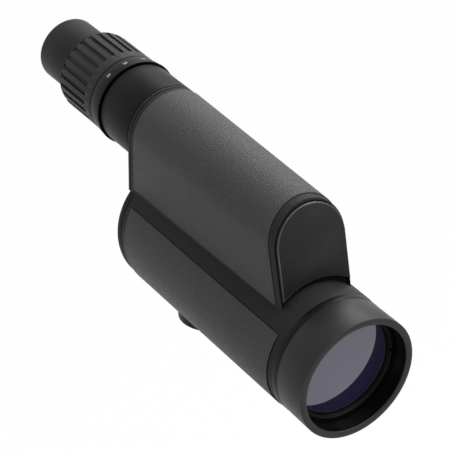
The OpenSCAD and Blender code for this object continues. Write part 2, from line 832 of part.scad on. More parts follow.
// Ribbed rubber grip, its slots open to the rear
module zoom_grip() {
    color("#232323") placed() difference() {
        turned(eye_h) polygon([
            [grip_in_r + skin, grip_y + fit], [grip_r - 0.4, grip_y + fit], [grip_r, grip_y + 0.4],
            [grip_r, zoom_end_y - 1.6], [grip_r - 0.5, zoom_end_y - 0.5],
            [grip_r - 1.6, zoom_end_y], [grip_in_r + skin, zoom_end_y]
        ]);
        translate([0, 0, eye_h]) for (i = [0 : grip_slots - 1])
            rotate([0, slot_turn + 360 * i / grip_slots, 0]) translate([0, 0, grip_r - slot_d])
            linear_extrude(slot_d + 2) {
                translate([0, slot_y + slot_w / 2]) circle(slot_w / 2);
                translate([-slot_w / 2, slot_y + slot_w / 2]) square([slot_w, far / 10]);
            }
    }
}

// O-ring between the zoom ring and its bearing
module zoom_seal() {
    color("#101010") placed() turned(eye_h) translate([bearing_r - 0.5, zoom_y + 4]) circle(0.45);
}

// Ring that keeps the zoom ring on the barrel
module zoom_retainer() {
    color("#2d2d2e") placed() ring(grip_r - 0.75, tail_r + fit, zoom_end_y + seat,
        zoom_end_y + seat + zoom_retainer_t, eye_h);
}

// Tube that holds the eye lenses
module ocular_cell() {
    color("#1d1d1e") placed() turned(eye_h) polygon([
        [eye_lens_r - 1.6, ocular_y], [ocular_r, ocular_y], [ocular_r, ocular_end_y],
        [eye_lens_r + fit, ocular_end_y], [eye_lens_r + fit, field_lens_y],
        [eye_lens_r - 1.6, field_lens_y]
    ]);
}

module field_lens() {
    color("#93a0ae") placed()
        lens(eye_lens_r, field_lens_y, field_lens_y + field_lens_t - 2, 0, 40, eye_h);
}

// Spacer between the field lens and the eye lens
module ocular_spacer() {
    color("#3a3a3b") placed() ring(eye_lens_r, eye_lens_r - 1.2,
        field_lens_y + field_lens_t - 2, eye_lens_y, eye_h);
}

module eye_lens() {
    color("#8c92a6") placed() lens(eye_lens_r, eye_lens_y, eye_lens_y + eye_lens_t, 38, 70, eye_h);
}

// Threaded ring behind the eye lens
module eye_lens_retainer() {
    color("#2a2a2b") placed() turned(eye_h) polygon([
        [eye_lens_r - 1.2, eye_lens_y + eye_lens_t], [eye_lens_r, eye_lens_y + eye_lens_t],
        [eye_lens_r, ocular_end_y - 0.4], [eye_lens_r - 0.2, ocular_end_y - 0.4]
    ]);
}

// Soft rubber eyecup around the eye lens
module eyecup() {
    mouth_r = eyecup_r - 2.6;
    color("#202020") placed() turned(eye_h) polygon([
        [tail_r + fit, eyecup_y], [eyecup_r - 0.4, eyecup_y], [eyecup_r, eyecup_y + 0.4],
        [eyecup_r, eyecup_end_y - 1.5], [eyecup_r - 0.45, eyecup_end_y - 0.45],
        [eyecup_r - 1.5, eyecup_end_y], [mouth_r + 0.4, eyecup_end_y],
        [mouth_r - 0.2, eyecup_end_y - 0.6], [mouth_r - 0.8, ocular_end_y + 0.3],
        [ocular_r - 0.6, ocular_end_y + 0.3], [ocular_r - 0.6, ocular_end_y + fit],
        [ocular_r + fit, ocular_end_y + fit], [ocular_r + fit, tail_y + fit],
        [tail_r + fit, tail_y + fit]
    ]);
}

// Round tripod foot, saddled onto the tube
module foot() {
    color("#1e1e1f") placed() difference() {
        translate([0, foot_y, -foot_drop]) {
            cylinder(h = 0.8, r1 = foot_r - 0.8, r2 = foot_r);
            translate([0, 0, 0.8]) cylinder(h = foot_drop - 0.8, r = foot_r);
        }
        rod(tube_r, 0, far);
        translate([-far / 2, 0, 0]) cube(far);
        translate([0, foot_y, -foot_drop - 1]) cylinder(h = foot_drop, r = insert_r + 0.02);
        at_foot_screws() {
            translate([0, 0, -foot_drop - 1]) cylinder(h = foot_drop, r = foot_screw_r + fit);
            translate([0, 0, -foot_drop - 1]) cylinder(h = 3.2, r = foot_head_r + fit);
        }
    }
}

// Two screws that hold the foot to the tube's floor
module foot_screws() {
    color("#707070") placed() at_foot_screws() translate([0, 0, -foot_drop]) difference() {
        union() {
            translate([0, 0, 0.2]) cylinder(h = 2, r = foot_head_r);
            translate([0, 0, 2]) cylinder(h = foot_drop - tube_r + 1.5, r = foot_screw_r);
        }
        cylinder(h = 1.4, r = 1.3, $fn = 6);
    }
}

// Steel bush with the tripod thread
module thread_insert() {
    color("#9a9a9a") placed() translate([0, foot_y, -foot_drop]) difference() {
        cylinder(h = foot_drop - tube_r - 0.1, r = insert_r);
        translate([0, 0, -1]) cylinder(h = foot_drop, r = thread_r);
    }
}

main_body();
lower_armor();
upper_armor();
front_plate();
plate_gasket();
objective_ring();
objective_collar();
objective_cell();
objective_seal();
front_lens();
lens_spacer();
rear_lens();
lens_retainer();
light_baffles();
upper_mirror();
upper_mirror_mount();
lower_mirror();
mirror_carriage();
guide_pins();
rear_cover();
cover_gasket();
cover_screws();
focus_knob();
knob_grip();
focus_screw();
knob_clip();
eyepiece_barrel();
barrel_gasket();
reticle_cell();
reticle();
erector_tube();
erector_retainer();
cam_sleeve();
drive_screw();
front_zoom_cell();
front_zoom_lens();
front_zoom_pin();
rear_zoom_cell();
rear_zoom_lens();
rear_zoom_pin();
zoom_ring();
zoom_grip();
zoom_seal();
zoom_retainer();
ocular_cell();
field_lens();
ocular_spacer();
eye_lens();
eye_lens_retainer();
eyecup();
foot();
foot_screws();
thread_insert();
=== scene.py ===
import math
import json

import bmesh
import bpy
from mathutils import Matrix, Vector


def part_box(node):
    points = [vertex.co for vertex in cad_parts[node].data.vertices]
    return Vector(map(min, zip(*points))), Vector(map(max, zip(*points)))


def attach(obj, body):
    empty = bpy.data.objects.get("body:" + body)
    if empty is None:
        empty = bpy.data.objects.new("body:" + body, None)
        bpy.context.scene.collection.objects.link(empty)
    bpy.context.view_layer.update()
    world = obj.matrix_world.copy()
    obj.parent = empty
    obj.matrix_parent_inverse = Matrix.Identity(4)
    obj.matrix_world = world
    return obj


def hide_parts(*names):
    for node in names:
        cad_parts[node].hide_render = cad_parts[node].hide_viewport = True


# A compact folded-path spotting scope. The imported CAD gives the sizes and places; the pieces
# below are the finished surfaces that stand for it. Sizes are in millimetres until they are built.

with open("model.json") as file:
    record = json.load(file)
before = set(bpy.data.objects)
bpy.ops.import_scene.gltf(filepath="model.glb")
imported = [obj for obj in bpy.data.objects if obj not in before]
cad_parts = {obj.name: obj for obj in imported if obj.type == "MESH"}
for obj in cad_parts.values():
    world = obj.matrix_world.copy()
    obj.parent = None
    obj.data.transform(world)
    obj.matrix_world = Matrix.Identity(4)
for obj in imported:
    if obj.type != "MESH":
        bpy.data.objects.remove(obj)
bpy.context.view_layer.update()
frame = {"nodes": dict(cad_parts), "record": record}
scene = bpy.context.scene
slotOf = {part["node"]: part["material_slot"] for part in frame["record"]["subparts"]}
bodyOf = {node: body for body, nodes in frame["record"]["behaviour"]["bodies"].items() for node in nodes}
weld = {"spin": 0.002, "copy": 0.003, "onRing": 0.004}  # how near counts as the same place
print("frame loaded:", len(frame["nodes"]), "nodes")


def mm(value):
    return value * 0.001


def span(node):
    low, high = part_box(node)
    return {
        "front": low.y * 1000, "back": high.y * 1000, "radius": high.x * 1000,
        "bottom": low.z * 1000, "top": high.z * 1000, "axisZ": (low.z + high.z) * 500,
    }


def facePlane(node, side):
    # the largest flat of a node that faces the front (-1) or the back (1): its normal and distance
    facing = 0.9  # how squarely a face must look along the axis
    flatStep = mm(0.1)  # faces closer than this lie on one flat
    areas = {}
    for face in frame["nodes"][node].data.polygons:
        if face.normal.y * side > facing:
            key = round(face.normal.dot(face.center) / flatStep)
            areas.setdefault(key, [0, face.normal.copy(), face.normal.dot(face.center)])[0] += face.area
    return max(areas.values(), key=lambda flat: flat[0])[1:]


def fromHex(code):
    # sRGB to linear
    channels = [int(code[i:i + 2], 16) / 255 for i in (1, 3, 5)]
    return tuple(c / 12.92 if c <= 0.04045 else ((c + 0.055) / 1.055) ** 2.4 for c in channels) + (1,)


def turned(profile, rings=(), axisZ=0.0, segments=160):
    # profile: (radius, y) round a closed outline; rings: (radius, y, width) edges to round off
    bm = bmesh.new()
    corners = [bm.verts.new((mm(r), mm(y), mm(axisZ))) for r, y in profile]
    edges = [bm.edges.new((a, b)) for a, b in zip(corners, corners[1:] + corners[:1])]
    bmesh.ops.spin(bm, geom=corners + edges, cent=(0, 0, mm(axisZ)), axis=(0, 1, 0), angle=2 * math.pi,
                   steps=segments, use_merge=True, use_duplicate=False)
    bmesh.ops.remove_doubles(bm, verts=bm.verts, dist=mm(weld["spin"]))
    bmesh.ops.recalc_face_normals(bm, faces=bm.faces)
    for radius, y, width in rings:
        roundRing(bm, radius, y, width, axisZ)
    return bm


def roundRing(bm, radius, y, width, axisZ, segments=3):
    def onRing(vert):
        reach = math.hypot(vert.co.x, vert.co.z - mm(axisZ))
        return abs(reach - mm(radius)) < mm(weld["onRing"]) and abs(vert.co.y - mm(y)) < mm(weld["onRing"])
    chosen = [e for e in bm.edges if onRing(e.verts[0]) and onRing(e.verts[1])]
    bmesh.ops.bevel(bm, geom=chosen, offset=mm(width), affect="EDGES", segments=segments,
                    profile=0.5, clamp_overlap=True, material=-1)


def foldOf(edge):
    return math.degrees(edge.calc_face_angle(0))


def roundEdges(bm, width, chosen, segments=3):
    edges = [e for e in bm.edges if len(e.link_faces) == 2 and chosen(e)]
    return bmesh.ops.bevel(bm, geom=edges, offset=mm(width), affect="EDGES", segments=segments,
                           profile=0.5, clamp_overlap=True, material=-1)["faces"]


def mergedCopy(node):
    # a CAD node's mesh with its loose triangles joined and its flats made whole
    flatTurn = 0.4
    bm = bmesh.new()
    bm.from_mesh(frame["nodes"][node].data)
    bmesh.ops.remove_doubles(bm, verts=bm.verts, dist=mm(weld["copy"]))
    bmesh.ops.dissolve_limit(bm, angle_limit=math.radians(flatTurn), verts=bm.verts, edges=bm.edges,
                             use_dissolve_boundaries=False)
    return bm


def cut(bm, tool, operation="DIFFERENCE"):
    # boolean of two bmeshes through throwaway objects
    parts = []
    for source in (bm, tool):
        mesh = bpy.data.meshes.new("cutting")
        source.to_mesh(mesh)
        source.free()
        parts.append(bpy.data.objects.new("cutting", mesh))
        scene.collection.objects.link(parts[-1])
    step = parts[0].modifiers.new("cut", "BOOLEAN")
    step.operation = operation
    step.solver = "EXACT"
    step.object = parts[1]
    bpy.context.view_layer.update()
    result = bmesh.new()
    result.from_object(parts[0], bpy.context.evaluated_depsgraph_get())
    for part in parts:
        mesh = part.data
        bpy.data.objects.remove(part)
        bpy.data.meshes.remove(mesh)
    bmesh.ops.remove_doubles(result, verts=result.verts, dist=mm(weld["copy"]))
    bmesh.ops.dissolve_degenerate(result, edges=result.edges, dist=mm(weld["copy"]))
    return result


def trim(bm, normal, distance):
    # takes away what lies beyond the plane
    geometry = bm.verts[:] + bm.edges[:] + bm.faces[:]
    bmesh.ops.bisect_plane(bm, geom=geometry, dist=mm(0.001), plane_co=normal * distance,
                           plane_no=normal, clear_outer=True)


def thicken(bm, thick):
    # a sheet becomes a skin that grows inwards, its faces turned outwards
    bmesh.ops.recalc_face_normals(bm, faces=bm.faces)
    centre = sum((v.co for v in bm.verts), Vector()) / len(bm.verts)
    outward = sum(face.normal.dot(face.calc_center_median() - centre) for face in bm.faces)
    if outward < 0:
        bmesh.ops.reverse_faces(bm, faces=bm.faces)
    bmesh.ops.solidify(bm, geom=bm.verts[:] + bm.edges[:] + bm.faces[:], thickness=mm(thick))


def toPiece(bm, name, materials, node, replaces=True, smoothAngle=35):
    mesh = bpy.data.meshes.new(name)
    bm.to_mesh(mesh)
    bm.free()
    for material in materials:
        mesh.materials.append(material)
    mesh.shade_smooth()
    mesh.set_sharp_from_angle(angle=math.radians(smoothAngle))
    piece = bpy.data.objects.new(name, mesh)
    scene.collection.objects.link(piece)
    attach(piece, bodyOf[node])
    if replaces:
        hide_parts(node)
    return piece


def addNode(tree, kind, settings=None, **links):
    node = tree.nodes.new(kind)
    for key, value in (settings or {}).items():
        if key in node.inputs:
            node.inputs[key].default_value = value
        else:
            setattr(node, key, value)
    for key, source in links.items():
        tree.links.new(source, node.inputs[int(key[2:]) if key.startswith("in") else key])
    return node


def newMaterial(name, settings):
    material = bpy.data.materials.new(name)
    material.use_nodes = True
    tree = material.node_tree
    tree.nodes.clear()
    shader = addNode(tree, "ShaderNodeBsdfPrincipled", settings)
    output = addNode(tree, "ShaderNodeOutputMaterial")
    tree.links.new(shader.outputs[0], output.inputs[0])
    place = addNode(tree, "ShaderNodeTexCoord").outputs["Object"]
    return material, tree, shader, place


def mixColours(tree, shader, factor, dark, light):
    blend = addNode(tree, "ShaderNodeMix", {"data_type": "RGBA"})
    blend.inputs[6].default_value = fromHex(dark)
    blend.inputs[7].default_value = fromHex(light)
    tree.links.new(factor, blend.inputs[0])
    tree.links.new(blend.outputs[2], shader.inputs["Base Color"])


def varyColour(tree, shader, place, dark, light, sizeMm, detail=3):
    # slow drift between two close shades
    cloud = addNode(tree, "ShaderNodeTexNoise", {"Scale": 1000 / sizeMm, "Detail": detail}, Vector=place)
    mixColours(tree, shader, cloud.outputs[0], dark, light)


def varyRoughness(tree, shader, place, low, high, sizeMm, detail=4):
    # slow drift between a glossier and a duller finish
    cloud = addNode(tree, "ShaderNodeTexNoise", {"Scale": 1000 / sizeMm, "Detail": detail}, Vector=place)
    spread = addNode(tree, "ShaderNodeMapRange", {"To Min": low, "To Max": high}, Value=cloud.outputs[0])
    tree.links.new(spread.outputs[0], shader.inputs["Roughness"])


def raiseSurface(tree, shader, height, depthMm, under=None, inward=False):
    bump = addNode(tree, "ShaderNodeBump", {"Distance": mm(depthMm), "Strength": 1.0, "invert": inward},
                   Height=height)
    if under:
        tree.links.new(under.outputs[0], bump.inputs["Normal"])
    tree.links.new(bump.outputs[0], shader.inputs["Normal"])
    return bump


def makeArmourRubber():
    # moulded thermoplastic rubber with a leather grain: creases painted dark as shade between pebble tops
    # painted lighter, a broad sheen
    look = {"grainMm": 1.05, "grainDepthMm": 0.23, "fineMm": 0.5, "fineDepthMm": 0.03, "softness": 0.5,
            "creaseHeight": -0.35, "pebbleHeight": 0.4, "crease": "#3a3a3a", "pebble": "#444443",
            "gloss": 0.2, "roughLow": 0.5, "roughHigh": 0.6, "roughMm": 5}
    material, tree, shader, place = newMaterial("armourRubber", {"Specular IOR Level": look["gloss"]})
    wander = addNode(tree, "ShaderNodeTexNoise", {"Scale": 1000 / look["grainMm"], "Detail": 1}, Vector=place)
    cells = addNode(tree, "ShaderNodeTexVoronoi", {
        "Scale": 1000 / look["grainMm"], "feature": "SMOOTH_F1", "Smoothness": look["softness"]}, Vector=place)
    fine = addNode(tree, "ShaderNodeTexNoise", {"Scale": 1000 / look["fineMm"], "Detail": 2}, Vector=place)
    height = addNode(tree, "ShaderNodeMath", {"operation": "SUBTRACT"},
                     in0=wander.outputs[0], in1=cells.outputs[0])
    # painted light and shade: the colour darkens from the pebble tops down into the creases
    spread = addNode(tree, "ShaderNodeMapRange", {
        "From Min": look["creaseHeight"], "From Max": look["pebbleHeight"]}, Value=height.outputs[0])
    mixColours(tree, shader, spread.outputs[0], look["crease"], look["pebble"])
    varyRoughness(tree, shader, place, look["roughLow"], look["roughHigh"], look["roughMm"])
    low = raiseSurface(tree, shader, fine.outputs[0], look["fineDepthMm"])
    raiseSurface(tree, shader, height.outputs[0], look["grainDepthMm"], low)
    return material


def makeTexturedPaint():
    # fine wrinkle paint on the cast body: near black, with painted light and shade on its speckle, the raised
    # specks lighter than the hollows
    look = {"speckMm": 1.0, "depthMm": 0.15, "dark": "#1e1e1e", "light": "#2d2d2d", "gloss": 0.1,
            "roughLow": 0.48, "roughHigh": 0.58, "roughMm": 6}
    material, tree, shader, place = newMaterial("texturedPaint", {"Specular IOR Level": look["gloss"]})
    speck = addNode(tree, "ShaderNodeTexNoise", {"Scale": 1000 / look["speckMm"], "Detail": 3}, Vector=place)
    # painted light and shade: the noise that raises the specks also makes them lighter
    mixColours(tree, shader, speck.outputs[0], look["dark"], look["light"])
    varyRoughness(tree, shader, place, look["roughLow"], look["roughHigh"], look["roughMm"])
    raiseSurface(tree, shader, speck.outputs[0], look["depthMm"])
    return material


def makeAnodised(name, dark, light, roughness, gloss, blastMm=0.4, depthMm=0.008):
    # black anodised aluminium: the dyed oxide is a dark dielectric, so it shines softly but isn't metallic
    drift = {"colourMm": 12, "roughMm": 4, "smoother": 0.03, "rougher": 0.05}
    material, tree, shader, place = newMaterial(name, {"Specular IOR Level": gloss})
    blast = addNode(tree, "ShaderNodeTexNoise", {"Scale": 1000 / blastMm, "Detail": 2}, Vector=place)
    varyColour(tree, shader, place, dark, light, drift["colourMm"])
    varyRoughness(tree, shader, place, roughness - drift["smoother"], roughness + drift["rougher"],
                  drift["roughMm"])
    raiseSurface(tree, shader, blast.outputs[0], depthMm)
    return material


def makeRubber(name, dark, light, roughness, gloss, grainMm=0.6, depthMm=0.015):
    # plain moulded rubber: matt, with the fine texture of a spark-eroded mould
    drift = {"colourMm": 10, "roughMm": 5, "smoother": 0.04, "rougher": 0.05}
    material, tree, shader, place = newMaterial(name, {"Specular IOR Level": gloss})
    grain = addNode(tree, "ShaderNodeTexNoise", {"Scale": 1000 / grainMm, "Detail": 3}, Vector=place)
    varyColour(tree, shader, place, dark, light, drift["colourMm"])
    varyRoughness(tree, shader, place, roughness - drift["smoother"], roughness + drift["rougher"],
                  drift["roughMm"])
    raiseSurface(tree, shader, grain.outputs[0], depthMm)
    return material


def makeGripRubberPaintedShade():
    # moulded rubber with painted shade in its slots: the colour darkens towards the slot floors
    look = {"floor": "#030303", "top": "#282828", "shadeDepthMm": 0.6, "grainMm": 0.6, "depthMm": 0.015,
            "gloss": 0.2, "roughLow": 0.46, "roughHigh": 0.56, "roughMm": 5}
    grip = span("zoom_grip")
    material, tree, shader, place = newMaterial("gripRubber", {"Specular IOR Level": look["gloss"]})
    centred = addNode(tree, "ShaderNodeMapping", {"Location": (0, 0, -mm(grip["axisZ"]))}, Vector=place)
    across = addNode(tree, "ShaderNodeVectorMath", {"operation": "MULTIPLY"}, in0=centred.outputs[0])
    across.inputs[1].default_value = (1, 0, 1)
    radius = addNode(tree, "ShaderNodeVectorMath", {"operation": "LENGTH"}, in0=across.outputs[0])
    # painted shade: the colour runs from near black at the slot floors up to the rib colour at the rib tops
    rise = addNode(tree, "ShaderNodeMapRange", {
        "From Min": mm(grip["radius"] - look["shadeDepthMm"]), "From Max": mm(grip["radius"])},
        Value=radius.outputs["Value"])
    mixColours(tree, shader, rise.outputs[0], look["floor"], look["top"])
    grain = addNode(tree, "ShaderNodeTexNoise", {"Scale": 1000 / look["grainMm"], "Detail": 3}, Vector=place)
    varyRoughness(tree, shader, place, look["roughLow"], look["roughHigh"], look["roughMm"])
    raiseSurface(tree, shader, grain.outputs[0], look["depthMm"])
    return material


def makeLampBlack():
    # flat black inside paint, which swallows stray light
    look = {"dark": "#040404", "light": "#080808", "colourMm": 8, "gloss": 0.03,
            "roughLow": 0.45, "roughHigh": 0.6, "roughMm": 4}
    material, tree, shader, place = newMaterial("lampBlack", {"Specular IOR Level": look["gloss"]})
    varyColour(tree, shader, place, look["dark"], look["light"], look["colourMm"])
    varyRoughness(tree, shader, place, look["roughLow"], look["roughHigh"], look["roughMm"])
    return material


def makeMetal(name, dark, light, roughness, turnMm=0.12, depthMm=0.004):
    # bare turned metal: fine tool marks run round the axis, so they step along it
    drift = {"colourMm": 6, "roughMm": 3, "smoother": 0.04, "rougher": 0.06, "waver": 1.5}
    wavePerUnit = 6.283  # the wave pattern turns once over this length at a scale of 1
    material, tree, shader, place = newMaterial(name, {"Metallic": 1.0})
    marks = addNode(tree, "ShaderNodeTexWave", {
        "Scale": 1000 / turnMm / wavePerUnit, "Distortion": drift["waver"], "bands_direction": "Y"},
        Vector=place)
    varyColour(tree, shader, place, dark, light, drift["colourMm"])
    varyRoughness(tree, shader, place, roughness - drift["smoother"], roughness + drift["rougher"],
                  drift["roughMm"])
    raiseSurface(tree, shader, marks.outputs[1], depthMm)
    return material


def makeMirror():
    # front-silvered mirror glass, with the least cloud in its shine
    look = {"dark": "#dde0e2", "light": "#e6e8ea", "colourMm": 15,
            "roughLow": 0.01, "roughHigh": 0.03, "roughMm": 10}
    material, tree, shader, place = newMaterial("silveredMirror", {"Metallic": 1.0})
    varyColour(tree, shader, place, look["dark"], look["light"], look["colourMm"])
    varyRoughness(tree, shader, place, look["roughLow"], look["roughHigh"], look["roughMm"])
    return material


def makeCoatedGlass():
    # multicoated crown glass over a black tube: a clear violet-grey reflection, and deep violet
    # where none falls
    look = {"deep": "#221e35", "edge": "#29243f", "shine": "#ece9fb", "glassIor": 1.5, "coatIor": 1.66,
            "colourMm": 40, "roughLow": 0.0, "roughHigh": 0.02, "roughMm": 20}
    material, tree, shader, place = newMaterial("coatedGlass", {
        "IOR": look["glassIor"], "Specular Tint": fromHex(look["shine"]), "Coat Weight": 1.0,
        "Coat Roughness": 0.0, "Coat IOR": look["coatIor"]})
    varyColour(tree, shader, place, look["deep"], look["edge"], look["colourMm"])
    varyRoughness(tree, shader, place, look["roughLow"], look["roughHigh"], look["roughMm"])
    return material


def makePrint():
    # pad-printed white ink, a little worn, matt
    look = {"worn": "#bdbdba", "fresh": "#dcdcd8", "colourMm": 0.8, "gloss": 0.35,
            "roughLow": 0.5, "roughHigh": 0.6, "roughMm": 1}
    material, tree, shader, place = newMaterial("padPrintWhite", {"Specular IOR Level": look["gloss"]})
    varyColour(tree, shader, place, look["worn"], look["fresh"], look["colourMm"])
    varyRoughness(tree, shader, place, look["roughLow"], look["roughHigh"], look["roughMm"])
    return material


paint = makeTexturedPaint()
armour = makeArmourRubber()
ringAnodised = makeAnodised("satinAnodised", "#1a1a1a", "#1e1e1e", 0.46, 0.26)
barrelAnodised = makeAnodised("blackAnodised", "#080809", "#0c0c0d", 0.42, 0.11)
# the dark band finish; also the painted highlight on the lens retainer's lip
bandAnodisedAndLipHighlight = makeAnodised("bandAnodisedAndLipHighlight", "#0a0a0a", "#0e0e0e", 0.4, 0.12)
plateAnodised = makeAnodised("blastedAnodised", "#111111", "#1e1e1e", 0.46, 0.18, 0.9, 0.14)
# painted highlight for the front plate's bevel: lighter than the plate
bevelPaintedHighlight = makeAnodised("bevelHighlightAnodised", "#343434", "#3c3c3c", 0.4, 0.45)
boreAnodised = makeAnodised("boreAnodised", "#040404", "#070707", 0.3, 0.05)
# grip rubber with painted shade in its slots
gripRubber = makeGripRubberPaintedShade()
cupRubber = makeRubber("eyecupRubber", "#101010", "#141414", 0.48, 0.18)
# black rubber for the seals; also laid on the lower armour's cut edges, and as painted shade in grooves and
# recesses
sealRubberAndShade = makeRubber("sealRubberAndShade", "#020202", "#050505", 0.6, 0.06)
lampBlack = makeLampBlack()
glass = makeCoatedGlass()
mirror = makeMirror()
brass = makeMetal("turnedBrass", "#b08a45", "#c19c58", 0.3)
steel = makeMetal("zincedSteel", "#5f6062", "#747577", 0.34)
aluminium = makeMetal("turnedAluminium", "#8b8c8e", "#9a9b9d", 0.35)
printInk = makePrint()

slotMaterials = {
    "casting": paint, "armour": armour, "black_rubber": sealRubberAndShade, "grip_rubber": gripRubber,
    "anodised": ringAnodised, "eyecup_rubber": cupRubber, "plate": plateAnodised,
    "inner_black": lampBlack, "coated_glass": glass, "mirror_glass": mirror, "brass": brass,
    "steel": steel, "inner_metal": aluminium,
}
for node, slot in slotOf.items():
    for holder in frame["nodes"][node].material_slots:
        holder.material = slotMaterials[slot]
print("materials made, in", len(slotMaterials), "slots")


def buildBody():
    # the casting keeps its CAD form, its outer folds rounded and its fine rear groove painted black as shade
    size = {"edge": 0.22, "fold": 35, "grooveBack": 1.9, "grooveWide": 0.6, "slack": 0.05, "clear": 0.3}
    housingBack = span("barrel_gasket")["front"]
    grooveEnd = housingBack - size["grooveBack"]
    grooveStart = grooveEnd - size["grooveWide"]
    bm = mergedCopy("main_body")

    def outsideGroove(edge):
        return not any(mm(grooveStart - size["clear"]) < v.co.y < mm(grooveEnd + size["clear"])
                       for v in edge.verts)
    roundEdges(bm, size["edge"], lambda e: foldOf(e) > size["fold"] and outsideGroove(e))
    # painted shade: the groove's faces take the black rubber
    for face in bm.faces:
        if all(mm(grooveStart - size["slack"]) < v.co.y < mm(grooveEnd + size["slack"])
               for v in face.verts):
            face.material_index = 1
    toPiece(bm, "bodyCasting", [paint, sealRubberAndShade], "main_body")


def buildUpperArmour():
    # a saddle swept over the tapering housing, cut square at the back and leaning at the front
    size = {"thick": 0.58, "taper": 2.5 / 149.3, "frontStrip": 5.0, "plateProud": 2.3, "spare": 8,
            "edge": 0.3, "fold": 50, "steps": 96}
    place = span("upper_armor")
    axisZ = span("eyepiece_barrel")["axisZ"]
    start = place["front"] - size["spare"]
    rearRadius = place["radius"]
    frontRadius = rearRadius - size["taper"] * (place["back"] - start)
    bm = bmesh.new()
    ends = [bm.verts.new((-mm(frontRadius), mm(start), mm(axisZ))),
            bm.verts.new((-mm(rearRadius), mm(place["back"]), mm(axisZ)))]
    rail = bm.edges.new(ends)
    last = bmesh.ops.spin(bm, geom=ends + [rail], cent=(0, 0, mm(axisZ)), axis=(0, 1, 0), angle=math.pi,
                          steps=size["steps"], use_merge=False, use_duplicate=False)["geom_last"]
    sides = [rail] + [g for g in last if isinstance(g, bmesh.types.BMEdge)]
    lower = bmesh.ops.extrude_edge_only(bm, edges=sides)["geom"]
    for vert in (g for g in lower if isinstance(g, bmesh.types.BMVert)):
        vert.co.z = mm(place["bottom"])
    normal, distance = facePlane("front_plate", -1)
    trim(bm, normal, distance - mm(size["plateProud"] + size["frontStrip"]))
    thicken(bm, size["thick"])
    roundEdges(bm, size["edge"], lambda e: foldOf(e) > size["fold"])
    toPiece(bm, "upperArmour", [armour], "upper_armor")


def buildLowerArmour():
    # a skin round the tube, open at the top, with its cut edges coloured black and a hole for the foot
    size = {"thick": 0.58, "openAngle": 54.4, "rearRim": 9.0, "spare": 10, "footGap": 0.4, "drill": 40,
            "edge": 0.16, "fold": 50, "steps": 150, "holeSteps": 96, "outward": 0.75}
    place = span("lower_armor")
    axisZ = span("objective_ring")["axisZ"]
    turn = math.radians(size["openAngle"])
    bm = bmesh.new()
    across = place["radius"] * math.sin(turn)
    height = axisZ + place["radius"] * math.cos(turn)
    ends = [bm.verts.new((mm(across), mm(y), mm(height)))
            for y in (place["front"], place["back"] + size["spare"])]
    rail = bm.edges.new(ends)
    bmesh.ops.spin(bm, geom=ends + [rail], cent=(0, 0, mm(axisZ)), axis=(0, 1, 0),
                   angle=2 * math.pi - 2 * turn, steps=size["steps"], use_merge=False, use_duplicate=False)
    normal, distance = facePlane("rear_cover", 1)
    trim(bm, normal, distance - mm(size["rearRim"]))
    thicken(bm, size["thick"])
    hole = bmesh.new()
    holeRadius = mm(span("foot")["radius"] + size["footGap"])
    bmesh.ops.create_cone(hole, cap_ends=True, segments=size["holeSteps"], radius1=holeRadius,
                          radius2=holeRadius, depth=mm(size["drill"]))
    bm = cut(bm, hole)
    roundEdges(bm, size["edge"], lambda e: foldOf(e) > size["fold"], 2)
    axis = Vector((0, 0, mm(axisZ)))
    # the skin's edge faces, which don't look outwards, take the black material
    for face in bm.faces:
        outward = face.calc_center_median() - axis
        outward.y = 0
        if abs(face.normal.dot(outward.normalized())) < size["outward"]:
            face.material_index = 1
    toPiece(bm, "lowerArmour", [armour, sealRubberAndShade], "lower_armor")


def buildFrontPlate():
    # raised plate, left bare, with a machined bevel round its face, the bevel painted lighter as a highlight
    size = {"bevel": 2.1, "fold": 40, "near": 0.05, "smoothAngle": 50}
    normal, distance = facePlane("front_plate", -1)
    bm = mergedCopy("front_plate")

    def onFace(edge):
        return all(abs(v.co.dot(normal) - distance) < mm(size["near"]) for v in edge.verts)
    bevel = roundEdges(bm, size["bevel"], lambda e: foldOf(e) > size["fold"] and onFace(e), 2)
    # painted highlight: the bevel faces take a lighter, glossier finish than the face
    for face in bevel:
        face.material_index = 1
    toPiece(bm, "frontPlate", [plateAnodised, bevelPaintedHighlight], "front_plate", smoothAngle=size["smoothAngle"])


buildBody()
buildUpperArmour()
buildLowerArmour()
buildFrontPlate()
print("body built")


def buildObjectiveRing():
    place = span("objective_ring")
    # the hood's bore is darker than the outside
    size = {"hoodRadius": 34.3, "hoodDepth": 10.8, "threadRadius": 36.65, "taper": 0.25,
            "lipRound": 0.7, "innerRound": 0.9, "rearRound": 0.12, "near": 0.06, "segments": 192}
    front, back, wide = place["front"], place["back"], place["radius"]
    step = front + size["hoodDepth"]
    narrow = wide - size["taper"]
    bm = turned(
        [(size["hoodRadius"], front), (wide, front), (narrow, back), (size["threadRadius"], back),
         (size["threadRadius"], step), (size["hoodRadius"], step)],
        [(wide, front, size["lipRound"]), (size["hoodRadius"], front, size["innerRound"]),
         (narrow, back, size["rearRound"])], place["axisZ"], size["segments"])
    for face in bm.faces:
        if all(math.hypot(v.co.x, v.co.z - mm(place["axisZ"])) < mm(size["hoodRadius"] + size["near"])
               for v in face.verts):
            face.material_index = 1
    toPiece(bm, "objectiveRing", [ringAnodised, boreAnodised], "objective_ring")


def buildCollar():
    place = span("objective_collar")
    # a plain band, a touch fuller than the tube behind it
    size = {"innerRadius": 36.65, "round": 0.12, "fuller": 0.4, "segments": 192}
    front, back, wide = place["front"], place["back"], place["radius"] + size["fuller"]
    bm = turned([(size["innerRadius"], front), (wide, front), (wide, back), (size["innerRadius"], back)],
                [(wide, front, size["round"]), (wide, back, size["round"])], place["axisZ"],
                size["segments"])
    toPiece(bm, "objectiveCollar", [bandAnodisedAndLipHighlight], "objective_collar")


